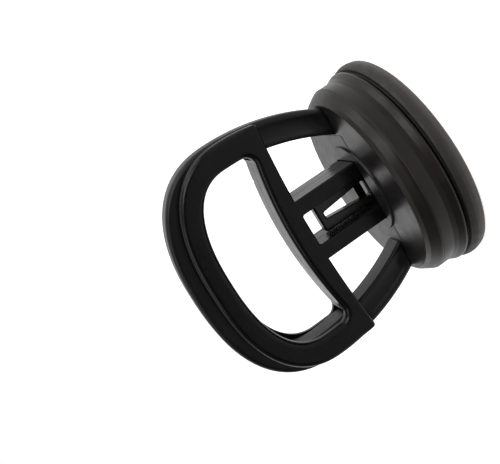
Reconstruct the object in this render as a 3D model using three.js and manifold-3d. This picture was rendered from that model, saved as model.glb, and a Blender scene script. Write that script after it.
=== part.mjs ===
// Hand-held suction lifter: a rubber pad under a stepped round housing, a fixed bow that the palm
// pushes on, and a D-shaped pull handle whose fork lifts the middle of the pad.
// Millimetres. The suction face lies on z = 0, +Z points to the bow's crown, the cross bar runs
// along X and the handle's depth along Y.
import * as THREE from "three";
import * as BufferGeometryUtils from "three/addons/utils/BufferGeometryUtils.js";
import Module from "manifold-3d";

const wasm = await Module();
wasm.setup();

// ---- driving dimensions ----
const GAP = 0.3; // clearance between touching pieces
const PAD_R = 38.25; // the pad's rim bulges out to this radius
const PAD_RIM_TOP = 6.2;
const CAVITY_TOP = 4.4; // height of the vacuum space in the middle
const CORE_R = 9;
const CORE_BOTTOM = 5.7;
const CORE_TOP = 7.1;
const CORE_NECK_R = 5.2;
const CORE_NECK_TOP = 8.8;

const FLANGE_R = 35.6; // housing flange that the pad's rim wraps round
const RING_R = 37.2; // largest ring of the housing
const WALL_R = 35.75; // the upright wall above the ring
const WALL_TOP = 16.2;
const TOP_R = 31.7; // the housing's flat top
const TOP_Z = 20.4;
const TOP_UNDERSIDE = 18;
const SKIRT_INNER_R = 30.8;
const WELL_X = 14.4; // half size of the well under the top, which holds the fork's end
const WELL_Y = 11.4;
const WELL_WALL = 1.8;
const WELL_FLOOR_TOP = 15;
const WELL_FLOOR_BOTTOM = 12.6;

const STEM_SHAFT_R = 3.2;
const STEM_THREAD_R = 1.9;
const BUSH_R = 4.9;
const GUIDE_R = 16.2; // the round collar on the top, through which the fork passes
const GUIDE_TOP = 21.7;
const GUIDE_BOTTOM = 16; // end of the collar's lining inside the well
const STRAP_TOP = 21.1; // the collar's two thin straps, which end at the bow's arms
const STRAP_END_X = 20.6;
const STRAP_HALF_WIDTH = 7.4;
const GUIDE_SCREW_Y = 13.9;
const GUIDE_BOSS_R = 1.6;

// Arches: widest at widestZ, with flanks of radius flankR below it and a crown up to topZ.
const BOW_OUTER = { halfWidth: 40.8, widestZ: 58, flankR: 77.9, topZ: 88 };
const BOW_INNER = { halfWidth: 31.6, widestZ: 60, flankR: 78.8, topZ: 79.2 };
const BOW_HALF_DEPTH = 4.6;
const CHANNEL_INSET = 2.1; // the arms' shallow channels, from both edges of the arm
const CHANNEL_DEPTH = 0.7;
const CHANNEL_FROM_Z = 22;
const CHANNEL_TO_Z = 42;

const HANDLE_HALF_DEPTH = 8;
const PLATE_INNER_Y = 5; // the plates' faces toward the bow
const PARTING_GAP = 0.15; // half of the gap between the handle's two halves
const HANDLE_OUTER = { halfWidth: 40.3, widestZ: 56, flankR: 63.7, topZ: 83 };
const HANDLE_HOLE = { halfWidth: 31.7, widestZ: 58, flankR: 200, topZ: 75.4 };
const HANDLE_EDGE_BREAK = 0.7;
const CORNER_X = 39; // where the handle's flank meets the bar's edge toward the cup
const HOLE_CORNER_R = 3.6;
const BAR_CUP_Z = 45; // the bar's edge toward the cup, in the middle
const BAR_CUP_DROP = 1.33; // how much lower that edge is at BAR_DROP_X
const BAR_FINGER_Z = 52; // the bar's edge toward the fingers, in the middle
const BAR_FINGER_DROP = 3.3;
const BAR_DROP_X = 30;
const BAR_BODY_HALF_WIDTH = 29.1;
const FORK_HALF_WIDTH = 11;
const WINDOW_HALF_WIDTH = 5.6;
const FORK_BOTTOM = 15.4;
const FORK_TOE = 1; // chamfer on the fork's lower outer corners

const STEM_HALF_WIDTH = 5.2;
const STEM_HALF_DEPTH = 2.2;
const STEM_TOP = 39.7;
const STEM_SHOULDER = 15.3; // where the flat blade meets the round shaft
const SLOT_BOTTOM = 20.3;
const SLOT_TOP = 37.2;
const PIN_Z = 17.6;
const PIN_R = 1;

const ARM_SCREW = { shankR: 0.95, headR: 2, headHeight: 1.5, length: 8 };
const GUIDE_SCREW = { shankR: 0.7, headR: 2.3, headHeight: 1.4, length: 3 };
const HANDLE_SCREW = { shankR: 1.2, headR: 2.4, headHeight: 1.6, length: 10.1 };
const HANDLE_SCREW_SEAT_Y = 5.6; // depth of the counterbores' floors in the rear half

const CROWN_POWER = 2.4; // crowns are superellipses, a little squarer than an ellipse
const ROUND_SEGMENTS = 48;
const SCREW_SEGMENTS = 12;

// ---- materials ----
function plastic(color, roughness) {
  return new THREE.MeshStandardMaterial({ color, roughness, metalness: 0 });
}

const materials = {
  rubber: plastic(0x2b2826, 0.85),
  housing: plastic(0x302e2f, 0.42),
  bow: plastic(0x161617, 0.3),
  handle: plastic(0x19191b, 0.33),
  guide: plastic(0x1c1c1d, 0.5),
  bush: plastic(0xd9d5c8, 0.5),
  steel: new THREE.MeshStandardMaterial({ color: 0x8a8680, roughness: 0.35, metalness: 1 }),
};

// ---- solids ----
function toSolid(geometry) {
  const bare = geometry.index ? geometry : BufferGeometryUtils.mergeVertices(geometry);
  bare.deleteAttribute("normal");
  bare.deleteAttribute("uv");
  const merged = BufferGeometryUtils.mergeVertices(bare, 1e-4);
  const vertProperties = new Float32Array(merged.attributes.position.array);
  const corners = merged.index.array;
  const kept = [];
  for (let i = 0; i < corners.length; i += 3) {
    const [a, b, c] = [corners[i], corners[i + 1], corners[i + 2]];
    if (a !== b && b !== c && c !== a) kept.push(a, b, c);
  }
  if (signedVolume(vertProperties, kept) < 0) kept.reverse();
  return new wasm.Manifold(new wasm.Mesh({ numProp: 3, vertProperties, triVerts: new Uint32Array(kept) }));
}

function signedVolume(positions, corners) {
  const [a, b, c] = [new THREE.Vector3(), new THREE.Vector3(), new THREE.Vector3()];
  let volume = 0;
  for (let i = 0; i < corners.length; i += 3) {
    a.fromArray(positions, 3 * corners[i]);
    b.fromArray(positions, 3 * corners[i + 1]);
    c.fromArray(positions, 3 * corners[i + 2]);
    volume += a.dot(b.cross(c)) / 6;
  }
  return volume;
}

function toGeometry(solid) {
  const mesh = solid.getMesh();
  const geometry = new THREE.BufferGeometry();
  geometry.setAttribute("position", new THREE.BufferAttribute(new Float32Array(mesh.vertProperties), 3));
  geometry.setIndex(new THREE.BufferAttribute(new Uint32Array(mesh.triVerts), 1));
  geometry.computeVertexNormals();
  return geometry;
}

// A solid of revolution about Z; the profile is a list of [radius, z].
function turned(profile, segments = ROUND_SEGMENTS) {
  const points = profile.map(([r, z]) => new THREE.Vector2(r, z));
  return toSolid(new THREE.LatheGeometry(points, segments).rotateX(Math.PI / 2));
}

function rod(radius, z0, z1, segments) {
  return turned([[0, z0], [radius, z0], [radius, z1], [0, z1]], segments);
}

// An outline in the XZ plane, pushed along Y from y0 to y1, with its edges broken by bevel.
function slab(outline, y0, y1, bevel = 0, hole = null, bevelSegments = 1) {
  const shape = new THREE.Shape(outline);
  if (hole) shape.holes.push(new THREE.Path(hole));
  const geometry = new THREE.ExtrudeGeometry(shape, {
    depth: y1 - y0 - 2 * bevel,
    bevelEnabled: bevel > 0,
    bevelThickness: bevel,
    bevelSize: bevel,
    bevelOffset: -bevel,
    bevelSegments,
  });
  return toSolid(geometry.rotateX(Math.PI / 2).translate(0, y1 - bevel, 0));
}

function box(x0, x1, y0, y1, z0, z1) {
  const geometry = new THREE.BoxGeometry(x1 - x0, y1 - y0, z1 - z0);
  return toSolid(geometry.translate((x0 + x1) / 2, (y0 + y1) / 2, (z0 + z1) / 2));
}

// A rod whose axis is parallel to X or Y, at the given height.
function crossRod(radius, from, to, axis, offset, z) {
  const geometry = new THREE.CylinderGeometry(radius, radius, to - from, SCREW_SEGMENTS);
  if (axis === "x") geometry.rotateZ(Math.PI / 2).translate((from + to) / 2, offset, z);
  else geometry.translate(offset, (from + to) / 2, z);
  return toSolid(geometry);
}

function uniteAll(solids) {
  return solids.reduce((sum, solid) => sum.add(solid));
}

function cutAll(solid, tools) {
  return tools.reduce((rest, tool) => rest.subtract(tool), solid);
}

const group = new THREE.Group();

function place(name, solid, material) {
  const mesh = new THREE.Mesh(toGeometry(solid), material.clone());
  mesh.name = name;
  group.add(mesh);
}

// ---- outlines ----
function mirrored(points) {
  return points.map((p) => new THREE.Vector2(-p.x, p.y)).reverse();
}

// Half the width of an arch's flank at height z.
function flankX({ halfWidth, widestZ, flankR }, z) {
  return halfWidth - flankR + Math.sqrt(flankR ** 2 - (widestZ - z) ** 2);
}

// Points up one side of an arch from startZ, and over a quarter of its crown to the axis.
function halfArch(shape, startZ, steps) {
  const { halfWidth, widestZ, topZ } = shape;
  const points = [];
  for (let i = 0; i < steps; i++) {
    const z = startZ + ((widestZ - startZ) * i) / steps;
    points.push(new THREE.Vector2(flankX(shape, z), z));
  }
  const quarter = 2 * steps;
  for (let i = 0; i <= quarter; i++) {
    const t = (Math.PI / 2) * (i / quarter);
    const x = halfWidth * Math.cos(t) ** (2 / CROWN_POWER);
    const z = widestZ + (topZ - widestZ) * Math.sin(t) ** (2 / CROWN_POWER);
    points.push(new THREE.Vector2(i === quarter ? 0 : x, i === quarter ? topZ : z));
  }
  return points;
}

function arch(shape, startZ, steps) {
  const right = halfArch(shape, startZ, steps);
  return [...right, ...mirrored(right).slice(1)];
}

function barCupZ(x) {
  return BAR_CUP_Z - BAR_CUP_DROP * (x / BAR_DROP_X) ** 2;
}

function barFingerZ(x) {
  return BAR_FINGER_Z - BAR_FINGER_DROP * (x / BAR_DROP_X) ** 2;
}

// Points along a curved edge of the bar, from x0 to x1.
function barEdge(height, x0, x1, steps) {
  const points = [];
  for (let i = 0; i <= steps; i++) {
    const x = x0 + ((x1 - x0) * i) / steps;
    points.push(new THREE.Vector2(x, height(x)));
  }
  return points;
}

function bowOutline() {
  const outer = arch(BOW_OUTER, TOP_Z - 2, 9);
  const inner = arch(BOW_INNER, TOP_Z - 2, 8);
  return [...outer, ...inner.reverse()];
}

// The lengthwise channel in an arm, inset from both of its edges.
function armChannelOutline(side) {
  const steps = 6;
  const outer = [];
  const inner = [];
  for (let i = 0; i <= steps; i++) {
    const z = CHANNEL_FROM_Z + ((CHANNEL_TO_Z - CHANNEL_FROM_Z) * i) / steps;
    outer.push(new THREE.Vector2(side * (flankX(BOW_OUTER, z) - CHANNEL_INSET), z));
    inner.push(new THREE.Vector2(side * (flankX(BOW_INNER, z) + CHANNEL_INSET), z));
  }
  const loop = [...outer, ...inner.reverse()];
  return side > 0 ? loop : loop.reverse();
}

function handleOutline() {
  const outer = arch(HANDLE_OUTER, barCupZ(CORNER_X), 8);
  const left = barEdge(barCupZ, -CORNER_X, -FORK_HALF_WIDTH, 4).slice(1);
  const right = barEdge(barCupZ, FORK_HALF_WIDTH, CORNER_X, 4).slice(0, -1);
  return [...outer, ...left, ...forkOutline(), ...right];
}

// Down one prong, up into the window and back up the other prong, from -x to +x.
function forkOutline() {
  const left = [
    new THREE.Vector2(-FORK_HALF_WIDTH, FORK_BOTTOM + FORK_TOE),
    new THREE.Vector2(-FORK_HALF_WIDTH + FORK_TOE, FORK_BOTTOM),
    new THREE.Vector2(-WINDOW_HALF_WIDTH, FORK_BOTTOM),
    new THREE.Vector2(-WINDOW_HALF_WIDTH, BAR_CUP_Z),
  ];
  return [...left, ...mirrored(left)];
}

function fingerHoleOutline() {
  const radius = HOLE_CORNER_R;
  const centreX = HANDLE_HOLE.halfWidth - radius;
  const centreZ = barFingerZ(centreX) + radius;
  const right = [];
  for (let i = 0; i <= 6; i++) {
    const angle = -Math.PI / 2 + (Math.PI / 2) * (i / 6);
    right.push(new THREE.Vector2(centreX + radius * Math.cos(angle), centreZ + radius * Math.sin(angle)));
  }
  right.push(...halfArch(HANDLE_HOLE, centreZ + 1, 4));
  const bottom = barEdge(barFingerZ, -centreX, centreX, 8).slice(1, -1);
  return [...right, ...mirrored(right).slice(1), ...bottom].reverse();
}

// What is cut away between the handle's two plates, so that the bow fits between them.
function bowRoomOutline() {
  const half = BAR_BODY_HALF_WIDTH;
  const overBar = barEdge((x) => barFingerZ(x) + GAP, -half, half, 8);
  const corner = (x, z) => new THREE.Vector2(x, z);
  return [
    corner(45, 95), corner(-45, 95), corner(-45, 38), corner(-half, 38),
    ...overBar,
    corner(half, 38), corner(45, 38),
  ];
}

// ---- pieces ----
function suctionPad() {
  const pocketTop = CORE_TOP + GAP;
  return turned([
    [0, CAVITY_TOP], [12, CAVITY_TOP - 0.1], [20, 3.8], [26, 2.9], [30, 1.9], [33.2, 0.6], [34.2, 0],
    [36.8, 0], [37.4, 0.3], [37.8, 1], [38.1, 2.2], [PAD_R, 3.5], [38.15, 4.4], [37.8, 5.3],
    [37.3, 5.95], [36.7, PAD_RIM_TOP], [34.1, PAD_RIM_TOP], [33.8, 5.9], [33.8, 5.6],
    [FLANGE_R + GAP, 5.6], [FLANGE_R + GAP, 3], [30.4, 3], [28, 4.5], [22, 5.8], [14, 6.8],
    [10.8, 7.2], [10.2, 7.6], [10, 8.2], [CORE_NECK_R + GAP, 8.2], [CORE_NECK_R + GAP, pocketTop],
    [CORE_R + GAP, pocketTop], [CORE_R + GAP, CORE_BOTTOM - GAP], [0, CORE_BOTTOM - GAP],
  ]);
}

function padCore() {
  const blank = turned([
    [0, CORE_BOTTOM], [CORE_R, CORE_BOTTOM], [CORE_R, CORE_TOP], [CORE_NECK_R, CORE_TOP],
    [CORE_NECK_R, CORE_NECK_TOP], [0, CORE_NECK_TOP],
  ], 48);
  return blank.subtract(rod(STEM_THREAD_R + GAP, CORE_BOTTOM + 0.6, CORE_NECK_TOP + 1, 24));
}

function cupHousing() {
  const shell = turned([
    [SKIRT_INNER_R, 3.3], [FLANGE_R, 3.3], [FLANGE_R, 5.3], [33.5, 5.3], [33.5, 6.8], [36.9, 6.8],
    [RING_R, 7.1], [37.05, 8.1], [36.65, 9], [36.2, 9.9], [WALL_R, 11.6], [WALL_R, WALL_TOP],
    [35.4, 16.5], [34.5, 18], [33.6, 19.5], [33.1, 20], [32.4, 20.3], [TOP_R, TOP_Z], [0, TOP_Z],
    [0, TOP_UNDERSIDE], [29, TOP_UNDERSIDE], [30.3, 17.5], [SKIRT_INNER_R, 16.4], [SKIRT_INNER_R, 3.3],
  ]);
  const well = roundedRectangle(WELL_X, WELL_Y, 2, WELL_FLOOR_BOTTOM, TOP_UNDERSIDE + 1);
  const pocket = [WELL_X - WELL_WALL, WELL_Y - WELL_WALL, 1, WELL_FLOOR_TOP, TOP_Z + 1];
  const hole = (radius, [x, y]) => rod(radius, TOP_UNDERSIDE - 1, TOP_Z + 1, 16).translate(x, y, 0);
  return cutAll(shell.add(well), [
    roundedRectangle(...pocket),
    rod(BUSH_R + GAP, WELL_FLOOR_BOTTOM - 1, WELL_FLOOR_TOP + 1, 36),
    ...armScrewPlaces().map((place) => hole(ARM_SCREW.shankR + GAP, place)),
    ...guideScrewPlaces().map((place) => hole(GUIDE_BOSS_R + GAP, place)),
  ]);
}

function roundedRectangle(halfX, halfY, radius, z0, z1) {
  const shape = new THREE.Shape();
  shape.absarc(halfX - radius, halfY - radius, radius, 0, Math.PI / 2);
  shape.absarc(radius - halfX, halfY - radius, radius, Math.PI / 2, Math.PI);
  shape.absarc(radius - halfX, radius - halfY, radius, Math.PI, 1.5 * Math.PI);
  shape.absarc(halfX - radius, radius - halfY, radius, 1.5 * Math.PI, 2 * Math.PI);
  const options = { depth: z1 - z0, bevelEnabled: false, curveSegments: 6 };
  return toSolid(new THREE.ExtrudeGeometry(shape, options).translate(0, 0, z0));
}

// The round collar that keeps the fork in line, with a lining inside the well.
function forkGuide() {
  const z = TOP_Z + GAP;
  const places = guideScrewPlaces();
  const straps = box(-STRAP_END_X, STRAP_END_X, -STRAP_HALF_WIDTH, STRAP_HALF_WIDTH, z, STRAP_TOP);
  const lining = [WELL_X - WELL_WALL - GAP, WELL_Y - WELL_WALL - GAP, 0.8, GUIDE_BOTTOM, GUIDE_TOP];
  const bosses = places.map(([x, y]) => {
    return rod(GUIDE_BOSS_R, TOP_UNDERSIDE + GAP, GUIDE_TOP - 0.5, 16).translate(x, y, 0);
  });
  const holes = places.map(([x, y]) => {
    return rod(GUIDE_SCREW.shankR + GAP, TOP_UNDERSIDE, z + 0.4, SCREW_SEGMENTS).translate(x, y, 0);
  });
  const disc = turned([
    [0, z], [GUIDE_R, z], [GUIDE_R, GUIDE_TOP - 0.2], [GUIDE_R - 0.2, GUIDE_TOP], [0, GUIDE_TOP],
  ]);
  const opening = [FORK_HALF_WIDTH + GAP, HANDLE_HALF_DEPTH + GAP, 0.4, GUIDE_BOTTOM - 1, GUIDE_TOP + 1];
  return cutAll(uniteAll([disc, straps, roundedRectangle(...lining), ...bosses]), [
    roundedRectangle(...opening),
    ...holes,
  ]);
}

function guideBush() {
  const blank = rod(BUSH_R, WELL_FLOOR_BOTTOM, WELL_FLOOR_TOP, 36);
  return blank.subtract(rod(STEM_SHAFT_R + GAP, WELL_FLOOR_BOTTOM - 1, WELL_FLOOR_TOP + 1, 36));
}

// A pan-head screw that points up, with its head's underside at z0.
function screwUp(x, y, z0, { shankR, headR, headHeight, length }) {
  const profile = [
    [0, z0 - headHeight], [headR - 0.5, z0 - headHeight], [headR, z0 - headHeight + 0.6], [headR, z0],
    [shankR, z0], [shankR, z0 + length - 0.6], [0, z0 + length],
  ];
  const drive = uniteAll([
    box(-0.3, 0.3, -headR * 0.6, headR * 0.6, z0 - headHeight - 1, z0 - headHeight + 0.7),
    box(-headR * 0.6, headR * 0.6, -0.3, 0.3, z0 - headHeight - 1, z0 - headHeight + 0.7),
  ]);
  return turned(profile, SCREW_SEGMENTS).subtract(drive).translate(x, y, 0);
}

function armScrewPlaces() {
  return [[26, 2.3], [26, -2.3], [-26, 2.3], [-26, -2.3]];
}

function guideScrewPlaces() {
  return [[0, GUIDE_SCREW_Y], [0, -GUIDE_SCREW_Y]];
}

function armScrew([x, y]) {
  return screwUp(x, y, TOP_UNDERSIDE - GAP, ARM_SCREW);
}

function guideScrew([x, y]) {
  return screwUp(x, y, TOP_UNDERSIDE - GAP, GUIDE_SCREW);
}

// The fixed bow: one arch whose two arms stand on the housing's top.
function bowHandle() {
  const depth = BOW_HALF_DEPTH;
  const foot = TOP_Z + GAP;
  const arms = slab(bowOutline(), -depth, depth, 1.5, null, 2).intersect(box(-60, 60, -20, 20, foot, 120));
  const channels = [1, -1].flatMap((side) => [
    slab(armChannelOutline(side), depth - CHANNEL_DEPTH, depth + 1),
    slab(armChannelOutline(side), -depth - 1, -depth + CHANNEL_DEPTH),
  ]);
  const holeTop = foot + ARM_SCREW.length - 2;
  const screwHoles = armScrewPlaces().map(([x, y]) => {
    return rod(ARM_SCREW.shankR + GAP, foot - 1, holeTop, SCREW_SEGMENTS).translate(x, y, 0);
  });
  return cutAll(arms, [...channels, ...screwHoles]);
}

function handleScrewPlaces() {
  return [[21, 47.6], [-21, 47.6], [8.4, 26], [-8.4, 26]];
}

// One half of the D-shaped handle; side is -1 for the front and 1 for the rear.
function pullHandleHalf(side) {
  const span = (near, far) => (side > 0 ? [near, far] : [-far, -near]);
  const face = HANDLE_HALF_DEPTH;
  const [y0, y1] = span(PARTING_GAP, face + 1);
  const blank = slab(handleOutline(), ...span(-2, face), HANDLE_EDGE_BREAK, fingerHoleOutline())
    .intersect(box(-60, 60, y0, y1, 0, 100))
    .subtract(slab(bowRoomOutline(), ...span(-3, PLATE_INNER_Y)));
  const pinHole = crossRod(PIN_R + GAP, -14, 14, "x", 0, PIN_Z);
  const screwHoles = handleScrewPlaces().flatMap(([x, z]) => {
    const reach = side > 0 ? [-1, 20] : [-4.6, 1];
    const shank = crossRod(1.5, ...reach, "y", x, z);
    return side > 0 ? [shank, crossRod(2.8, HANDLE_SCREW_SEAT_Y, 20, "y", x, z)] : [shank];
  });
  return cutAll(blank, [pinHole, ...screwHoles]);
}

// Pan-head screw from the rear face toward the front.
function handleScrew([x, z]) {
  const turn = new THREE.Matrix4().makeRotationX(Math.PI / 2);
  turn.setPosition(x, HANDLE_SCREW_SEAT_Y + GAP, z);
  return screwUp(0, 0, 0, HANDLE_SCREW).transform(turn.elements);
}

// The flat post that the fork lifts, with its tapered window and its round shaft.
function pullStem() {
  const width = STEM_HALF_WIDTH;
  const depth = STEM_HALF_DEPTH;
  const blade = slab([
    new THREE.Vector2(width, STEM_SHOULDER), new THREE.Vector2(width, STEM_TOP - 0.8),
    new THREE.Vector2(width - 0.8, STEM_TOP), new THREE.Vector2(0.8 - width, STEM_TOP),
    new THREE.Vector2(-width, STEM_TOP - 0.8), new THREE.Vector2(-width, STEM_SHOULDER),
  ], -depth, depth, 0.4);
  const slot = slab([
    new THREE.Vector2(2.8, SLOT_BOTTOM), new THREE.Vector2(1.1, SLOT_TOP),
    new THREE.Vector2(-1.1, SLOT_TOP), new THREE.Vector2(-2.8, SLOT_BOTTOM),
  ], -depth - 1, depth + 1);
  const threadEnd = CORE_BOTTOM + 0.9;
  const shaftEnd = CORE_NECK_TOP + GAP;
  const shaftTop = STEM_SHOULDER + 0.3;
  const shaft = turned([
    [0, threadEnd], [STEM_THREAD_R, threadEnd], [STEM_THREAD_R, shaftEnd], [STEM_SHAFT_R, shaftEnd],
    [STEM_SHAFT_R, STEM_SHOULDER], [2, shaftTop], [0, shaftTop],
  ], 36);
  return blade.add(shaft).subtract(slot).subtract(crossRod(PIN_R + GAP, -9, 9, "x", 0, PIN_Z));
}

function forkPin() {
  return crossRod(PIN_R, -10.7, 10.7, "x", 0, PIN_Z);
}

// ---- the assembly ----
place("suction_pad", suctionPad(), materials.rubber);
place("cup_housing", cupHousing(), materials.housing);
place("bow_handle", bowHandle(), materials.bow);
place("fork_guide", forkGuide(), materials.guide);
place("guide_bush", guideBush(), materials.bush);
armScrewPlaces().forEach((spot, i) => place(`arm_screw_${i + 1}`, armScrew(spot), materials.steel));
guideScrewPlaces().forEach((spot, i) => place(`guide_screw_${i + 1}`, guideScrew(spot), materials.steel));
place("pull_handle_front", pullHandleHalf(-1), materials.handle);
place("pull_handle_rear", pullHandleHalf(1), materials.handle);
handleScrewPlaces().forEach((spot, i) => place(`handle_screw_${i + 1}`, handleScrew(spot), materials.steel));
place("pull_stem", pullStem(), materials.guide);
place("fork_pin", forkPin(), materials.steel);
place("pad_core", padCore(), materials.steel);

export default group;
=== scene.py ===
"""Hand-held suction lifter: finished surfaces, materials, light and camera round the CAD frame.

Everything is placed in metres in the CAD frame: the suction face lies on z = 0, the bow's crown is
on +Z, the finger bar runs along X and the handle's depth along Y. Outlines and sizes in this file
are in millimetres, and the floor, lights and camera are in metres.
"""
import math

import bmesh
import bpy
from mathutils import Matrix, Vector
from mathutils.geometry import tessellate_polygon


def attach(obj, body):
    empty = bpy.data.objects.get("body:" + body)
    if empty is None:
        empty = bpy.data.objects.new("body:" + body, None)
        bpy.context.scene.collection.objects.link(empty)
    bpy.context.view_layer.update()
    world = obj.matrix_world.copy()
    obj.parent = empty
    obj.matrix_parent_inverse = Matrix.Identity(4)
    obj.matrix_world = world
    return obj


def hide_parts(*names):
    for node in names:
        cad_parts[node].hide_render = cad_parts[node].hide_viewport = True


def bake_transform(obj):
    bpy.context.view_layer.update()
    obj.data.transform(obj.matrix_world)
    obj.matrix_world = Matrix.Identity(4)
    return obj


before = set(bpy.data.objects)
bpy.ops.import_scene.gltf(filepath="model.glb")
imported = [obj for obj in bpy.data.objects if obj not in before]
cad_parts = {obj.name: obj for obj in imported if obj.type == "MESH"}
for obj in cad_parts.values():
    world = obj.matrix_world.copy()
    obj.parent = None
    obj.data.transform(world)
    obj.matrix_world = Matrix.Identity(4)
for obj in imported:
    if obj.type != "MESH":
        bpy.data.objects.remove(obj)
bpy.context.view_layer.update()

MM = 0.001
ROUND = 192  # segments of the large turned pieces
CROWN_POWER = 2.4  # how square the arches are between flank and crown
SHARP_ANGLE = math.radians(38)

TOP_Z = 20.4  # the housing's flat top
GAP = 0.3  # clearance between touching pieces
SPLIT_R = 30.4  # the pad is split at this radius into its rim, which rides on the cup, and its web inside
LIP_INNER_R = 34.2  # the pad's flat lip starts here
DOME_HEIGHT = 4.4  # of the vacuum space under the pad
WELL_FLOOR = 15  # of the pocket that the fork stands in
BOW_OUTER = {"half_width": 40.8, "widest_z": 58, "flank_r": 77.9, "top_z": 88}
BOW_INNER = {"half_width": 31.6, "widest_z": 60, "flank_r": 78.8, "top_z": 79.2}
BOW_HALF_DEPTH = 4.6
HANDLE_OUTER = {"half_width": 40.3, "widest_z": 56, "flank_r": 63.7, "top_z": 83}
HANDLE_HOLE = {"half_width": 31.7, "widest_z": 58, "flank_r": 200, "top_z": 75.4}
HANDLE_FACE_Y = 8.0
PLATE_INNER_Y = 5.0
PARTING_Y = 0.15
CORNER_X = 39.0  # lower corner of each plate, beside the bow's arm
EDGE_R = 0.75  # least rounding of the handle's outer edges
FORK_HALF_WIDTH = 11.0
WINDOW_HALF_WIDTH = 5.6
FORK_BOTTOM = 15.4
STEM_TOP = 39.7
STEM_HALF_WIDTH = 5.2
SHOULDER_Z = 15.3  # where the stem's blade meets its shaft
HANDLE_SCREWS = ((21, 47.6), (-21, 47.6), (8.4, 26), (-8.4, 26))  # (x, z)
HEAD_SEAT_Y = 5.9  # underside of the heads of the handle's screws
GUIDE_SCREW_Y = 13.9

# The housing's flat top is glossier and cooler in colour than its sides.
TOP_R = 31.9
TOP_POLISH = 0.95  # its roughness as a share of the sides'
TOP_COLOUR = (0.0090, 0.0075, 0.0092)
TOP_SPEC = 0.40

FLOOR_HALF = 40.0
FLOOR_BOUNCE = 0.56  # the floor's brightness as the part sees it
FLOOR_GLOW = 0.75  # light that the camera sees the floor give off


# ---- small tools -------------------------------------------------------------------------------
def rounded(points, steps=5, closed=True):
    """A polygon with rounded corners; points are (u, v) or (u, v, radius)."""
    out = []
    count = len(points)
    for i, point in enumerate(points):
        corner = Vector(point[:2])
        radius = point[2] if len(point) > 2 else 0
        if radius <= 0 or (not closed and i in (0, count - 1)):
            out.append(corner)
            continue
        before = Vector(points[i - 1][:2]) - corner
        after = Vector(points[(i + 1) % count][:2]) - corner
        half = before.angle(after) / 2
        if half > math.radians(89):
            out.append(corner)
            continue
        cut = min(radius / math.tan(half), 0.49 * before.length, 0.49 * after.length)
        radius = cut * math.tan(half)
        bisector = (before.normalized() + after.normalized()).normalized()
        centre = corner + bisector * (radius / math.sin(half))
        first = corner + before.normalized() * cut - centre
        last = corner + after.normalized() * cut - centre
        start = math.atan2(first.y, first.x)
        sweep = math.atan2(last.y, last.x) - start
        sweep = (sweep + math.pi) % (2 * math.pi) - math.pi
        for k in range(steps + 1):
            angle = start + sweep * k / steps
            out.append(centre + radius * Vector((math.cos(angle), math.sin(angle))))
    return out


def make_object(name, verts, faces):
    """A mesh object from points in millimetres, with its faces turned outward."""
    mesh = bpy.data.meshes.new(name)
    mesh.from_pydata([Vector(v) * MM for v in verts], [], faces)
    obj = bpy.data.objects.new(name, mesh)
    bpy.context.scene.collection.objects.link(obj)
    work = bmesh.new()
    work.from_mesh(mesh)
    bmesh.ops.remove_doubles(work, verts=work.verts, dist=1e-7)
    bmesh.ops.recalc_face_normals(work, faces=work.faces)
    work.to_mesh(mesh)
    work.free()
    return obj


def lathe(name, profile, segments=ROUND, centre=(0, 0)):
    """A solid of revolution about Z through centre; profile is a list of (radius, z)."""
    verts, rings, faces = [], [], []
    for r, z in profile:
        if r < 1e-6:
            rings.append([len(verts)])
            verts.append((centre[0], centre[1], z))
            continue
        ring = []
        for k in range(segments):
            angle = 2 * math.pi * k / segments
            ring.append(len(verts))
            verts.append((centre[0] + r * math.cos(angle), centre[1] + r * math.sin(angle), z))
        rings.append(ring)
    pairs = list(zip(rings, rings[1:]))
    if len(rings[0]) > 1 and len(rings[-1]) > 1:
        pairs.append((rings[-1], rings[0]))
    for low, high in pairs:
        for k in range(segments):
            n = (k + 1) % segments
            if len(low) == 1 and len(high) == 1:
                continue
            if len(low) == 1:
                faces.append((low[0], high[n], high[k]))
            elif len(high) == 1:
                faces.append((low[k], low[n], high[0]))
            else:
                faces.append((low[k], low[n], high[n], high[k]))
    return make_object(name, verts, faces)


def signed_area(loop):
    return 0.5 * sum(a[0] * b[1] - b[0] * a[1] for a, b in zip(loop, [*loop[1:], loop[0]]))


def inset(loop, distances):
    """A loop moved toward its left by each point's own distance, with mitred corners."""
    out = []
    count = len(loop)
    for i in range(count):
        a, p, b = Vector(loop[i - 1]), Vector(loop[i]), Vector(loop[(i + 1) % count])
        into = (p - a).normalized()
        away = (b - p).normalized()
        normal_in = Vector((-into.y, into.x))
        normal_out = Vector((-away.y, away.x))
        mitre = normal_in + normal_out
        mitre = mitre * (2 / max(mitre.length_squared, 0.6))
        out.append(p + mitre * distances[i])
    return out


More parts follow.
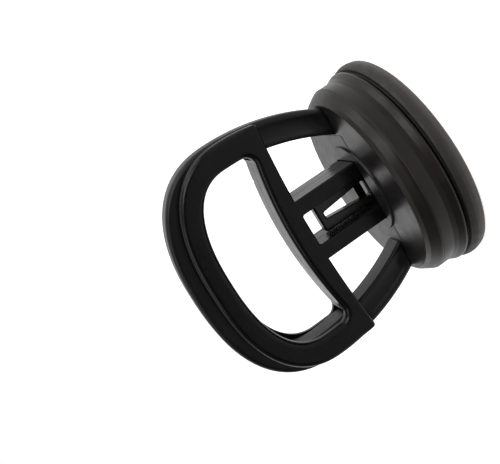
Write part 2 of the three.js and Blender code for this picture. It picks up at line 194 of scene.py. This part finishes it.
def slab(name, outer, holes, near, far, bevel_near=0.0, bevel_far=0.0, steps=5, up="y",
         soften=None):
    """A plate between the planes near and far, with rounded edges. up names the axis of its depth.

    soften(u, v), where given, multiplies the edge radius at each point of the outline.
    """
    loops = [outer if signed_area(outer) > 0 else outer[::-1]]
    loops += [hole if signed_area(hole) < 0 else hole[::-1] for hole in holes]
    levels = []  # (radius, share of it moved inward, end plane, share of it away from that plane)
    for radius, plane, away in ((bevel_near, near, 1), (bevel_far, far, -1)):
        if radius <= 0:
            levels.append((0, 0, plane, 0))
            continue
        turns = [math.pi / 2 * k / steps for k in range(steps + 1)]
        for t in turns if away > 0 else reversed(turns):
            levels.append((radius, 1 - math.sin(t), plane, away * (1 - math.cos(t))))
    verts, faces = [], []
    bases = []  # first vertex and length of each loop
    caps = {0: [], len(levels) - 1: []}
    for loop in loops:
        bases.append((len(verts), len(loop)))
        starts = []
        scale = [soften(u, v) if soften else 1 for u, v in loop]
        for level, (radius, inward, plane, away) in enumerate(levels):
            moved = radius * inward
            ring = inset(loop, [moved * k for k in scale]) if moved > 0 else loop
            starts.append(len(verts))
            for (u, v), k in zip(ring, scale):
                depth = plane + radius * away * k
                verts.append((u, depth, v) if up == "y" else (u, v, depth))
            if level in caps:
                caps[level].append([Vector((u, v, 0)) for u, v in ring])
        count = len(loop)
        for low, high in zip(starts, starts[1:]):
            for k in range(count):
                n = (k + 1) % count
                faces.append((low + k, low + n, high + n, high + k))
    for level, rings in caps.items():
        index = []
        for base, count in bases:
            index += [base + level * count + k for k in range(count)]
        for triangle in tessellate_polygon(rings):
            faces.append(tuple(index[k] for k in triangle))
    return make_object(name, verts, faces)


def take_mesh(obj):
    """Applies obj's modifiers."""
    graph = bpy.context.evaluated_depsgraph_get()
    mesh = bpy.data.meshes.new_from_object(obj.evaluated_get(graph))
    obj.modifiers.clear()
    old, obj.data = obj.data, mesh
    bpy.data.meshes.remove(old)
    mesh.name = obj.name


def combine(obj, tools, operation):
    """Adds tools to obj, or takes them away, by an exact boolean."""
    for tool in tools:
        step = obj.modifiers.new("combine", "BOOLEAN")
        step.solver = "EXACT"
        step.operation = operation
        step.object = tool
        take_mesh(obj)
        bpy.data.objects.remove(tool)
    return obj


def join(name, objects):
    """One object from several closed shells."""
    work = bmesh.new()
    for obj in objects:
        work.from_mesh(obj.data)
    mesh = bpy.data.meshes.new(name)
    work.to_mesh(mesh)
    work.free()
    for obj in objects:
        bpy.data.objects.remove(obj)
    joined = bpy.data.objects.new(name, mesh)
    bpy.context.scene.collection.objects.link(joined)
    return joined


def shade(obj, angle=SHARP_ANGLE):
    """Smooth shading with crisp edges, and flat faces that stay flat beside their rounded edges."""
    mesh = obj.data
    mesh.shade_smooth()
    mesh.set_sharp_from_angle(angle=angle)
    weighted = obj.modifiers.new("face normals", "WEIGHTED_NORMAL")
    weighted.keep_sharp = True
    weighted.weight = 60
    return obj


def stand_in(obj, node, body, material):
    """obj takes the place of a CAD node and takes a material, and rides on body if one is given."""
    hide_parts(node)
    if body:
        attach(obj, body)
    obj.data.materials.clear()
    obj.data.materials.append(material)
    return obj


# ---- materials ---------------------------------------------------------------------------------
class Shader:
    """A principled material with a few helpers for its nodes."""

    def __init__(self, name):
        self.material = bpy.data.materials.new(name)
        self.material.use_nodes = True
        self.nodes = self.material.node_tree.nodes
        self.links = self.material.node_tree.links
        self.bsdf = next(n for n in self.nodes if n.type == "BSDF_PRINCIPLED")
        self.place = self.nodes.new("ShaderNodeTexCoord").outputs["Object"]

    def add(self, kind, inputs=(), **settings):
        node = self.nodes.new(kind)
        for key, value in settings.items():
            setattr(node, key, value)
        for key, value in dict(inputs).items():
            self.feed(node.inputs[key], value)
        return node

    def feed(self, socket, value):
        if isinstance(value, bpy.types.NodeSocket):
            self.links.new(value, socket)
        else:
            socket.default_value = value

    def set(self, **values):
        for key, value in values.items():
            self.feed(self.bsdf.inputs[key.replace("_", " ")], value)

    def noise(self, scale, detail=3.0, roughness=0.55, stretch=(1, 1, 1)):
        where = self.place
        if stretch != (1, 1, 1):
            where = self.add("ShaderNodeMapping", {"Vector": where, "Scale": stretch}).outputs[0]
        made = self.add(
            "ShaderNodeTexNoise",
            {"Vector": where, "Scale": scale, "Detail": detail, "Roughness": roughness},
        )
        return made.outputs["Fac"]

    def spread(self, value, low, high, to_low=0.0, to_high=1.0):
        made = self.add(
            "ShaderNodeMapRange",
            {"Value": value, "From Min": low, "From Max": high, "To Min": to_low,
             "To Max": to_high},
        )
        return made.outputs[0]

    def mix(self, factor, a, b):
        made = self.add("ShaderNodeMix", data_type="RGBA")
        self.feed(made.inputs["Factor"], factor)
        self.feed(made.inputs[6], a)
        self.feed(made.inputs[7], b)
        return made.outputs[2]

    def sum(self, a, b, operation="ADD"):
        return self.add("ShaderNodeMath", {0: a, 1: b}, operation=operation).outputs[0]

    def length(self, vector):
        return self.add("ShaderNodeVectorMath", {0: vector}, operation="LENGTH").outputs["Value"]

    def along(self, axis):
        return self.add("ShaderNodeSeparateXYZ", {"Vector": self.place}).outputs[axis]

    # a mask of the rounded edges, for paler paint that is part wear and part painted highlight
    def worn_and_highlit_edges(self, low, high):
        pointy = self.add("ShaderNodeNewGeometry").outputs["Pointiness"]
        return self.spread(pointy, low, high)

    def bump(self, height, distance, strength=1.0, under=None):
        made = self.add(
            "ShaderNodeBump", {"Height": height, "Distance": distance, "Strength": strength}
        )
        if under is not None:
            self.feed(made.inputs["Normal"], under)
        return made.outputs[0]


def black_plastic(name, colour, light, rough, spec, grain, wave=0.012, top_r=None,
                  tint=(1, 1, 1)):
    """Moulded black plastic: drifting colour, paler specks, edges painted paler as part wear and
    part painted highlight, handling marks, fine texture.

    grain and wave are the heights of its fine and its broad unevenness. Inside the radius top_r
    the surface takes the finish of the housing's flat top.
    """
    s = Shader(name)
    drift = s.spread(s.noise(90, 3), 0.35, 0.7)
    base = s.mix(drift, (*colour, 1), (*light, 1))
    speck = s.spread(s.noise(1500, 2), 0.66, 0.78, 0.0, 0.35)
    base = s.mix(speck, base, (*[min(1, 2.2 * c + 0.008) for c in light], 1))
    # edges painted paler: part wear, part a painted highlight along the rounded edges
    edge = s.worn_and_highlit_edges(0.53, 0.62)
    base = s.mix(s.sum(edge, 0.35, "MULTIPLY"), base, (*[2.0 * c + 0.006 for c in light], 1))
    marks = s.spread(s.noise(140, 5, 0.62, (1, 1, 0.45)), 0.42, 0.72, 0.0, 0.10)
    fine = s.spread(s.noise(900, 2), 0.3, 0.7, -0.03, 0.03)
    roughness = s.sum(s.sum(marks, rough), fine)
    if top_r:
        flat = s.add("ShaderNodeVectorMath", {0: s.place, 1: (1, 1, 0)}, operation="MULTIPLY")
        outside = s.spread(s.length(flat.outputs[0]), (top_r - 0.4) * MM, top_r * MM)
        roughness = s.sum(roughness, s.spread(outside, 0, 1, TOP_POLISH, 1.0), "MULTIPLY")
        base = s.mix(outside, (*TOP_COLOUR, 1), base)
        s.set(Specular_IOR_Level=s.spread(outside, 0, 1, TOP_SPEC, spec))
    else:
        s.set(Specular_IOR_Level=spec)
    s.set(Base_Color=base, Roughness=roughness, IOR=1.5, Specular_Tint=(*tint, 1))
    texture = s.bump(s.noise(3600, 2), grain * MM)
    s.set(Normal=s.bump(s.noise(300, 2), wave * MM, 1.0, texture))
    return s.material


def rubber(name):
    """Matt black-brown rubber with a grainy moulded skin, a little dust and a lip painted paler
    toward the suction face as painted light from below.
    """
    s = Shader(name)
    dust_colour, lip_painted_light_colour = (0.075, 0.070, 0.066, 1), (0.082, 0.071, 0.066, 1)
    drift = s.spread(s.noise(120, 4), 0.3, 0.7)
    base = s.mix(drift, (0.012, 0.0105, 0.0095, 1), (0.021, 0.0182, 0.0166, 1))
    dust = s.spread(s.noise(1900, 3, 0.7), 0.60, 0.75, 0.0, 0.55)
    base = s.mix(dust, base, dust_colour)
    # painted light: paler toward the suction face, standing in for light from the floor falling on
    # the lip
    base = s.mix(s.spread(s.along("Z"), 3.2 * MM, 0.3 * MM, 0.0, 0.85), base, lip_painted_light_colour)
    s.set(Base_Color=base, Roughness=s.spread(s.noise(500, 3), 0.3, 0.7, 0.50, 0.66))
    s.set(Specular_IOR_Level=0.40, IOR=1.5)
    grain = s.bump(s.noise(2600, 3, 0.6), 0.035 * MM)
    s.set(Normal=s.bump(s.noise(420, 2), 0.02 * MM, 1.0, grain))
    return s.material


def steel(name, colour, rough):
    """Zinc-plated steel with fine turning marks and duller patches."""
    s = Shader(name)
    patch = s.spread(s.noise(420, 3), 0.35, 0.7)
    base = s.mix(patch, (*colour, 1), (*[0.72 * c for c in colour], 1))
    s.set(Base_Color=base, Metallic=1.0)
    turning = s.noise(1300, 3, 0.6, (1, 1, 4))
    s.set(Roughness=s.spread(turning, 0.3, 0.7, rough - 0.06, rough + 0.12))
    s.set(Normal=s.bump(s.noise(2500, 2, 0.5, (1, 6, 1)), 0.006 * MM))
    return s.material


def pale_plastic(name):
    """Natural acetal, slightly mottled."""
    s = Shader(name)
    mottle = s.spread(s.noise(300, 3), 0.3, 0.7)
    base = s.mix(mottle, (0.60, 0.58, 0.52, 1), (0.50, 0.48, 0.43, 1))
    s.set(Base_Color=base, Roughness=s.spread(s.noise(700, 2), 0.3, 0.7, 0.38, 0.5))
    s.set(Normal=s.bump(s.noise(2000, 2), 0.01 * MM))
    return s.material


RUBBER = rubber("rubber")
HOUSING = black_plastic(
    "housing_plastic", (0.0075, 0.0064, 0.0060), (0.013, 0.0108, 0.0098),
    rough=0.33, spec=0.28, grain=0.010, top_r=TOP_R, tint=(1.0, 0.955, 0.93),
)
BOW = black_plastic(
    "bow_plastic", (0.0016, 0.0015, 0.0013), (0.0034, 0.0031, 0.0028),
    rough=0.36, spec=0.30, grain=0.003,
)
HANDLE = black_plastic(
    "handle_plastic", (0.0016, 0.0016, 0.0016), (0.0034, 0.0033, 0.0033),
    rough=0.22, spec=0.24, grain=0.003, wave=0.045,
)
GUIDE = black_plastic(
    "guide_plastic", (0.004, 0.004, 0.0042), (0.008, 0.008, 0.008),
    rough=0.35, spec=0.4, grain=0.006,
)
STEM = black_plastic(
    "stem_plastic", (0.005, 0.0045, 0.004), (0.010, 0.009, 0.008),
    rough=0.22, spec=0.45, grain=0.004,
)
STEEL = steel("steel", (0.50, 0.48, 0.45), 0.30)
BUSH = pale_plastic("bush_plastic")


# ---- outlines ----------------------------------------------------------------------------------
def flank_x(shape, z):
    """Half width of an arch at a height below its widest point."""
    r = shape["flank_r"]
    return shape["half_width"] - r + math.sqrt(r * r - (shape["widest_z"] - z) ** 2)


def half_arch(shape, start_z, flank_steps, crown_steps):
    """Points up one side of an arch and over to its crown, from +X to the axis."""
    points = []
    for i in range(flank_steps):
        z = start_z + (shape["widest_z"] - start_z) * i / flank_steps
        points.append((flank_x(shape, z), z))
    for i in range(crown_steps + 1):
        t = math.pi / 2 * i / crown_steps
        x = shape["half_width"] * max(math.cos(t), 0) ** (2 / CROWN_POWER)
        rise = shape["top_z"] - shape["widest_z"]
        z = shape["widest_z"] + rise * math.sin(t) ** (2 / CROWN_POWER)
        points.append((x, z))
    points[-1] = (0.0, shape["top_z"])
    return points


def mirrored(points):
    return [(-x, z) for x, z in reversed(points)]


def arch(shape, start_z, flank_steps=26, crown_steps=44):
    right = half_arch(shape, start_z, flank_steps, crown_steps)
    return right + mirrored(right)[1:]


def bar_cup_z(x):
    """Height of the finger bar's edge toward the cup."""
    return 45 - 1.33 * (x / 30) ** 2


def bar_finger_z(x):
    """Height of the finger bar's edge in the finger hole."""
    return 52 - 3.3 * (x / 30) ** 2


def bar_edge(height, x0, x1, steps=16):
    across = [x0 + (x1 - x0) * i / steps for i in range(steps + 1)]
    return [(x, height(x)) for x in across]


def handle_outline():
    """Round the D and the fork below its bar, from the right corner over the crown."""
    reach, corner_r = 2.2, 1.5  # the plate's corner is rounded within this reach of its point
    corner_z = bar_cup_z(CORNER_X)
    outer = arch(HANDLE_OUTER, corner_z + reach)
    inward = (CORNER_X - reach, bar_cup_z(CORNER_X - reach))
    tip = (flank_x(HANDLE_OUTER, corner_z), corner_z, corner_r)
    corner = rounded([inward, tip, outer[0]], 6, closed=False)[1:-1]
    w, f, toe, top = WINDOW_HALF_WIDTH, FORK_HALF_WIDTH, 1.0, bar_cup_z(0)
    left_prong = [
        (-f, FORK_BOTTOM + toe), (-f + toe, FORK_BOTTOM), (-w, FORK_BOTTOM),
        (-w, top - 0.6), (-w + 0.2, top - 0.2), (-w + 0.6, top),
    ]
    left = bar_edge(bar_cup_z, reach - CORNER_X, -f)
    right = bar_edge(bar_cup_z, f, CORNER_X - reach)
    fork = left_prong + mirrored(left_prong)
    return outer + mirrored(corner) + left + fork + right + corner


def finger_hole():
    radius, steps = 3.6, 10  # of its lower corners
    centre_x = HANDLE_HOLE["half_width"] - radius
    centre_z = bar_finger_z(centre_x) + radius
    right = []
    for i in range(steps + 1):
        angle = -math.pi / 2 + math.pi / 2 * i / steps
        right.append((centre_x + radius * math.cos(angle), centre_z + radius * math.sin(angle)))
    right += half_arch(HANDLE_HOLE, centre_z + 1, 6, 40)
    return right + mirrored(right)[1:] + bar_edge(bar_finger_z, -centre_x, centre_x, 24)[1:-1]


def bow_room():
    """The space between the plates, above and beside the bar's body, cut past the outline."""
    half = 29.1
    side, above, below = 45, 95, 38
    over = bar_edge(lambda x: bar_finger_z(x) + GAP, -half, half, 24)
    return [
        (side, above), (-side, above), (-side, below), (-half, below), *over,
        (half, below), (side, below),
    ]


# ---- the pad -----------------------------------------------------------------------------------
def pad_under(r):
    """Height of the vacuum dome's surface at a radius."""
    t = min(r / LIP_INNER_R, 1)
    return DOME_HEIGHT * (1 - t ** 2.6) ** 1.15


def build_pad():
    rim = lathe("pad_rim", rounded([
        (SPLIT_R, pad_under(SPLIT_R)), (32.4, pad_under(32.4), 1.5), (LIP_INNER_R, 0, 0.5),
        (36.9, 0, 0.4), (37.75, 0.7, 0.9), (38.2, 2.5, 1.8), (38.25, 3.9, 1.4), (37.9, 5.1, 0.7),
        (37.4, 5.85, 0.28), (36.2, 5.9, 0.2), (35.9, 6.2, 0.1), (33.9, 6.2, 0.3), (33.9, 5.6, 0.1),
        (35.9, 5.6, 0.1), (35.9, 3.0, 0.2), (SPLIT_R, 3.0),
    ], 6))
    rings = 24
    radii = [SPLIT_R * i / rings for i in range(rings, -1, -1)]
    core_pocket = [(0, 5.4), (9.3, 5.4), (9.3, 7.4), (5.5, 7.4)]
    top = rounded([
        (5.5, 8.2), (10, 8.2, 0.4), (10.4, 7.1, 0.5), (14, 6.7, 2), (22, 5.7, 4), (28, 4.3, 2),
        (SPLIT_R, 3.0),
    ], 4, closed=False)
    web = lathe("pad_web", [(r, pad_under(r)) for r in radii] + core_pocket + top, 144)
    shade(rim)
    shade(web, math.radians(50))
    stand_in(rim, "suction_pad", "cup", RUBBER)
    stand_in(web, "suction_pad", None, RUBBER)
    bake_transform(web)


# ---- the housing -------------------------------------------------------------------------------
def plan(half_x, half_y, radius):
    """A rectangle with round corners, seen from above."""
    corners = ((half_x, -half_y), (half_x, half_y), (-half_x, half_y), (-half_x, -half_y))
    return rounded([(x, y, radius) for x, y in corners], 8)


def build_housing():
    housing = lathe("cup_housing_shell", rounded([
        (30.8, 3.3, 0.2), (35.6, 3.3, 0.25), (35.6, 5.3, 0.2), (33.5, 5.3), (33.5, 7.1, 0.1),
        (36.6, 7.1, 0.2), (37.2, 7.5, 0.3), (37.15, 8.1, 0.6), (36.65, 9.1, 0.5),
        (36.15, 10.0, 1.6), (35.75, 11.7, 1.8), (35.75, 15.9, 0.35), (35.35, 16.2, 0.3),
        (35.05, 17.1, 0.8), (33.6, 19.4, 1.0), (32.3, TOP_Z, 0.35), (0, TOP_Z), (0, 18),
        (29.6, 18, 0.6), (30.8, 16.6, 0.8),
    ], 6))
    well = slab("well", plan(14.4, 11.4, 2), [], 12.6, 19.4, bevel_near=0.2, steps=3, up="z")
    combine(housing, [well], "UNION")
    pocket = slab("pocket", plan(12.6, 9.6, 1), [], WELL_FLOOR, TOP_Z + 3.6, up="z")
    bush_hole = lathe("bush_hole", [(0, 11), (5.2, 11), (5.2, 16), (0, 16)], 72)
    combine(housing, [pocket, bush_hole], "DIFFERENCE")
    shade(housing)
    stand_in(housing, "cup_housing", "cup", HOUSING)


# ---- the bow -----------------------------------------------------------------------------------
def bow_section(half, cove):
    """Round the bow's section: (across, depth), across from -half at the inner side to half.

    cove is the depth of the hollow in its front and rear faces.
    """
    outer_r, inner_r = 1.7, 1.0
    rim = 1.15  # width over which the hollow sets in
    mid = 1.2  # depth of an extra point on each straight side
    face_steps, arc_steps = 14, 7
    depth = BOW_HALF_DEPTH
    first, last = half - outer_r - 0.1, -half + inner_r + 0.1
    front = []
    for k in range(face_steps + 1):
        t = k / face_steps
        ease = min(min(t, 1 - t) * abs(first - last) / rim, 1.0)
        sag = cove * (1 - abs(2 * t - 1) ** 2.2) * (ease * ease * (3 - 2 * ease))
        front.append((first + (last - first) * t, -depth + sag))
    outer_arc, inner_arc = [], []
    for k in range(arc_steps + 1):
        t = math.pi / 2 * k / arc_steps
        c, s = math.cos(t), math.sin(t)
        outer_arc.append((half - outer_r + outer_r * c, -depth + outer_r - outer_r * s))
        inner_arc.append((-half + inner_r - inner_r * s, -depth + inner_r - inner_r * c))
    arcs_and_face = outer_arc[:-1] + front + inner_arc[1:]
    front_side = [(half, -mid)] + arcs_and_face + [(-half, -mid)]
    rear_side = [(a, -y) for a, y in reversed(front_side)]
    return front_side + rear_side


def build_bow():
    start = 15.3  # below the feet, which are cut just above the housing's top
    flank_steps, crown_steps = 48, 60
    outer = arch(BOW_OUTER, start, flank_steps, crown_steps)
    inner = arch(BOW_INNER, start, flank_steps, crown_steps)
    verts, faces = [], []
    for (ox, oz), (ix, iz) in zip(outer, inner):
        middle = Vector(((ox + ix) / 2, (oz + iz) / 2))
        across = Vector((ox - ix, oz - iz))
        half = across.length / 2
        across.normalize()
        z = middle.y
        fade_low = min(max((z - 21.5) / 3, 0), 1)  # the hollow starts above the foot
        fade_high = min(max((54 - z) / 8, 0), 1)  # and ends below the crown
        for a, y in bow_section(half, 0.95 * fade_low * fade_high):
            verts.append((middle.x + across.x * a, y, middle.y + across.y * a))
    stations = len(outer)
    size = len(verts) // stations
    for s in range(stations - 1):
        for k in range(size):
            n = (k + 1) % size
            faces.append((s * size + k, s * size + n, (s + 1) * size + n, (s + 1) * size + k))
    faces.append(tuple(range(size)))
    faces.append(tuple((stations - 1) * size + k for k in range(size)))
    bow = make_object("bow_body", verts, faces)
    below = [(-60, -20), (60, -20), (60, 20), (-60, 20)]
    combine(bow, [slab("below", below, [], 5, TOP_Z + GAP, up="z")], "DIFFERENCE")
    bow.name = "bow_handle_body"
    shade(bow)
    stand_in(bow, "bow_handle", "cup", BOW)


# ---- the pull handle ---------------------------------------------------------------------------
def handle_softness(x, z):
    """The grip's outer edge and the finger hole are rounded more than the edges toward the cup."""
    above_bar = z - bar_cup_z(x)
    return 1 + 1.6 * min(max((above_bar - 1.5) / 4, 0), 1)


def build_handle_half(side):
    """Front half for side -1, rear half for side 1."""
    name = "pull_handle_front" if side < 0 else "pull_handle_rear"
    face, parting = side * HANDLE_FACE_Y, side * PARTING_Y
    low, high = sorted((face, parting))
    bevels = (EDGE_R, 0) if side < 0 else (0, EDGE_R)
    half = slab(name + "_cover", handle_outline(), [finger_hole()], low, high, *bevels, steps=8,
                soften=handle_softness)
    past_parting = -side * 3.0
    near, far = sorted((side * PLATE_INNER_Y, past_parting))
    combine(half, [slab("room", bow_room(), [], near, far)], "DIFFERENCE")
    if side > 0:
        bore_r, bore_half = 2.8, 3  # counterbores for the screw heads
        for x, z in HANDLE_SCREWS:
            bore = lathe("bore", [(0, -bore_half), (bore_r, -bore_half), (bore_r, bore_half),
                                  (0, bore_half)], 40)
            middle = Matrix.Translation(Vector((x, 8.6, z)) * MM)
            bore.data.transform(middle @ Matrix.Rotation(math.pi / 2, 4, "X"))
            combine(half, [bore], "DIFFERENCE")
    shade(half)
    stand_in(half, name, "pull_handle", HANDLE)


def build_stem():
    w, half_depth, edge_r = STEM_HALF_WIDTH, 2.2, 0.7
    outline = rounded([
        (w, SHOULDER_Z), (w, STEM_TOP, 1.1), (-w, STEM_TOP, 1.1), (-w, SHOULDER_Z),
    ], 6)
    slot = rounded([
        (2.8, 20.3, 0.4), (1.1, 37.2, 0.5), (-1.1, 37.2, 0.5), (-2.8, 20.3, 0.4),
    ], 4)
    blade = slab("pull_stem_blade", outline, [slot], -half_depth, half_depth, edge_r, edge_r)
    shaft = lathe("shaft", rounded([
        (0, 6.6), (1.9, 6.6, 0.3), (1.9, 9.1), (3.2, 9.1, 0.3), (3.2, SHOULDER_Z, 0.2), (2, 15.6),
        (0, 15.6),
    ], 4, closed=False), 64)
    stem = join("pull_stem_post", [blade, shaft])
    shade(stem)
    stand_in(stem, "pull_stem", "pull_handle", STEM)


def build_guide():
    low, disc_top, strap_top = TOP_Z + 0.02, 21.2, 20.52
    disc = lathe("disc", rounded([
        (0, low), (16.3, low), (16.1, disc_top, 0.35), (0, disc_top),
    ], 6, closed=False), 160)
    straps = slab("straps", plan(20.6, 7.4, 0.6), [], low, strap_top, 0, 0.1, steps=4, up="z")
    lining = slab("lining", plan(12.3, 9.3, 0.8), [], 16, 21, bevel_near=0.2, steps=3, up="z")
    guide = combine(disc, [straps, lining], "UNION")
    opening = slab("opening", plan(11.3, 8.3, 0.4), [], 15, 23, up="z")
    combine(guide, [opening], "DIFFERENCE")
    foot = rounded([(0, 18.3), (1.6, 18.3, 0.2), (1.6, 20.1), (0, 20.1)], 3, closed=False)
    bosses = [lathe("boss", foot, 32, (0, y)) for y in (GUIDE_SCREW_Y, -GUIDE_SCREW_Y)]
    guide = join("fork_guide_collar", [guide, *bosses])
    shade(guide)
    stand_in(guide, "fork_guide", "cup", GUIDE)


def build_handle_screws():
    seat, length = HEAD_SEAT_Y, 10.1
    end = seat - length
    drive = rounded([
        (1.35, -0.28, 0.1), (1.35, 0.28, 0.1), (-1.35, 0.28, 0.1), (-1.35, -0.28, 0.1),
    ], 3)
    for i, (x, z) in enumerate(HANDLE_SCREWS, 1):
        screw = lathe(f"handle_screw_{i}_fine", rounded([
            (0, end), (0.5, end), (1.2, end + 0.8, 0.2), (1.2, seat), (2.4, seat, 0.1),
            (2.4, 6.9, 0.25), (1.9, 7.4, 0.5), (0, 7.5),
        ], 5, closed=False), 56)
        cross = []
        for turn in (0, 1):
            arm = slab("drive", drive, [], 6.6, 9, up="z")
            arm.data.transform(Matrix.Rotation(math.pi / 2 * turn, 4, "Z"))
            cross.append(arm)
        combine(screw, cross, "DIFFERENCE")
        spin = Matrix.Rotation(math.radians(17 + 29 * i), 4, "Z")  # each at its own angle
        screw.data.transform(Matrix.Translation(Vector((x, 0, z)) * MM)
                             @ Matrix.Rotation(-math.pi / 2, 4, "X") @ spin)
        shade(screw)
        stand_in(screw, f"handle_screw_{i}", "pull_handle", STEEL)


def dress_cad_nodes():
    """Materials for the CAD nodes that keep their own shape."""
    finishes = {"guide_bush": BUSH, "fork_pin": STEEL, "pad_core": STEEL}
    finishes.update({f"arm_screw_{i}": STEEL for i in range(1, 5)})
    finishes.update({f"guide_screw_{i}": STEEL for i in range(1, 3)})
    for node, material in finishes.items():
        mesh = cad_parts[node].data
        mesh.materials.clear()
        mesh.materials.append(material)


# ---- floor, light and camera -------------------------------------------------------------------
def build_floor():
    """White paper that the camera sees evenly lit, and the part sees darker and partly glowing."""
    h = FLOOR_HALF
    mesh = bpy.data.meshes.new("floor")
    mesh.from_pydata([(-h, -h, 0), (h, -h, 0), (h, h, 0), (-h, h, 0)], [], [(0, 1, 2, 3)])
    floor = bpy.data.objects.new("floor", mesh)
    bpy.context.scene.collection.objects.link(floor)
    s = Shader("floor_paper")
    paper = s.mix(s.spread(s.noise(3, 2), 0.3, 0.7), (0.86, 0.86, 0.86, 1), (0.88, 0.88, 0.88, 1))
    s.set(Roughness=0.9, Specular_IOR_Level=0.1)
    seen = s.add("ShaderNodeLightPath").outputs["Is Camera Ray"]
    s.set(Base_Color=s.mix(seen, (FLOOR_BOUNCE, FLOOR_BOUNCE, FLOOR_BOUNCE, 1), paper))
    behind = s.spread(s.along("Y"), -0.16, 0.10, 0.0, 0.35)
    beside = s.spread(s.length(s.place), 0.045, 0.080, 0.65, 0.0)
    glow = s.sum(behind, beside)
    strength = s.add("ShaderNodeMix", {"Factor": seen, 2: glow, 3: FLOOR_GLOW}).outputs[0]
    s.set(Emission_Color=(1, 1, 1, 1), Emission_Strength=strength)
    mesh.materials.append(s.material)


def area_light(name, place, width, height, power):
    """A white panel that faces the part."""
    aim = Vector((0, 0, 0.04))
    lamp = bpy.data.lights.new(name, "AREA")
    lamp.shape = "RECTANGLE"
    lamp.size, lamp.size_y = width, height
    lamp.energy = power
    obj = bpy.data.objects.new(name, lamp)
    obj.location = place
    obj.rotation_euler = (aim - Vector(place)).to_track_quat("-Z", "Y").to_euler()
    bpy.context.scene.collection.objects.link(obj)


def build_world():
    """A pale room that is darker on the side where the camera stands."""
    world = bpy.data.worlds.new("studio")
    world.use_nodes = True
    tree = world.node_tree
    tree.nodes.clear()
    node = tree.nodes.new
    direction = node("ShaderNodeTexCoord").outputs["Generated"]
    dot = node("ShaderNodeVectorMath")
    dot.operation = "DOT_PRODUCT"
    tree.links.new(direction, dot.inputs[0])
    dot.inputs[1].default_value = Vector((0.18, 0.95, 0.25)).normalized()
    ramp = node("ShaderNodeMapRange")
    ramp.interpolation_type = "SMOOTHSTEP"
    tree.links.new(dot.outputs["Value"], ramp.inputs["Value"])
    ramp.inputs["From Min"].default_value = -0.25
    ramp.inputs["From Max"].default_value = 0.55
    ramp.inputs["To Min"].default_value = 0.10
    ramp.inputs["To Max"].default_value = 1.0
    lit = node("ShaderNodeBackground")
    lit.inputs["Color"].default_value = (1, 1, 1, 1)
    tree.links.new(ramp.outputs[0], lit.inputs["Strength"])
    seen = node("ShaderNodeBackground")
    seen.inputs["Color"].default_value = (1, 1, 1, 1)
    seen.inputs["Strength"].default_value = 1.0
    mix = node("ShaderNodeMixShader")
    tree.links.new(node("ShaderNodeLightPath").outputs["Is Camera Ray"], mix.inputs[0])
    tree.links.new(lit.outputs[0], mix.inputs[1])
    tree.links.new(seen.outputs[0], mix.inputs[2])
    tree.links.new(mix.outputs[0], node("ShaderNodeOutputWorld").inputs[0])
    bpy.context.scene.world = world


def build_camera():
    """In front of the part and above it, rolled so that the crown points down to the left."""
    camera = bpy.data.cameras.new("camera")
    camera.sensor_width = 36
    camera.lens = 59.6
    camera.shift_x = -0.1025
    camera.shift_y = -0.1705
    camera.clip_start, camera.clip_end = 0.01, 50
    obj = bpy.data.objects.new("camera", camera)
    stand = Vector((0.07154, -0.25916, 0.09874))
    right = Vector((-0.50395, -0.30271, -0.80895)).normalized()
    look = Vector((-0.17724, 0.95289, -0.24616)).normalized()
    up = right.cross(look).normalized()
    right = look.cross(up)
    turn = Matrix((right, up, -look)).transposed().to_4x4()
    obj.matrix_world = Matrix.Translation(stand) @ turn
    bpy.context.scene.collection.objects.link(obj)
    bpy.context.scene.camera = obj


build_camera()
build_world()
build_floor()
area_light("side_box", (0.75, -0.05, 0.42), 0.3, 0.5, 1.4)
area_light("key_box", (0.55, -0.60, 0.52), 0.45, 0.55, 3.2)
area_light("top_box", (-0.05, -0.45, 0.95), 0.6, 0.4, 1.6)
area_light("back_strip", (-0.65, 0.45, 0.40), 0.2, 0.6, 0.4)
bpy.context.scene.view_settings.view_transform = "Standard"

build_pad()
build_housing()
build_bow()
build_handle_half(-1)
build_handle_half(1)
build_stem()
build_guide()
build_handle_screws()
dress_cad_nodes()
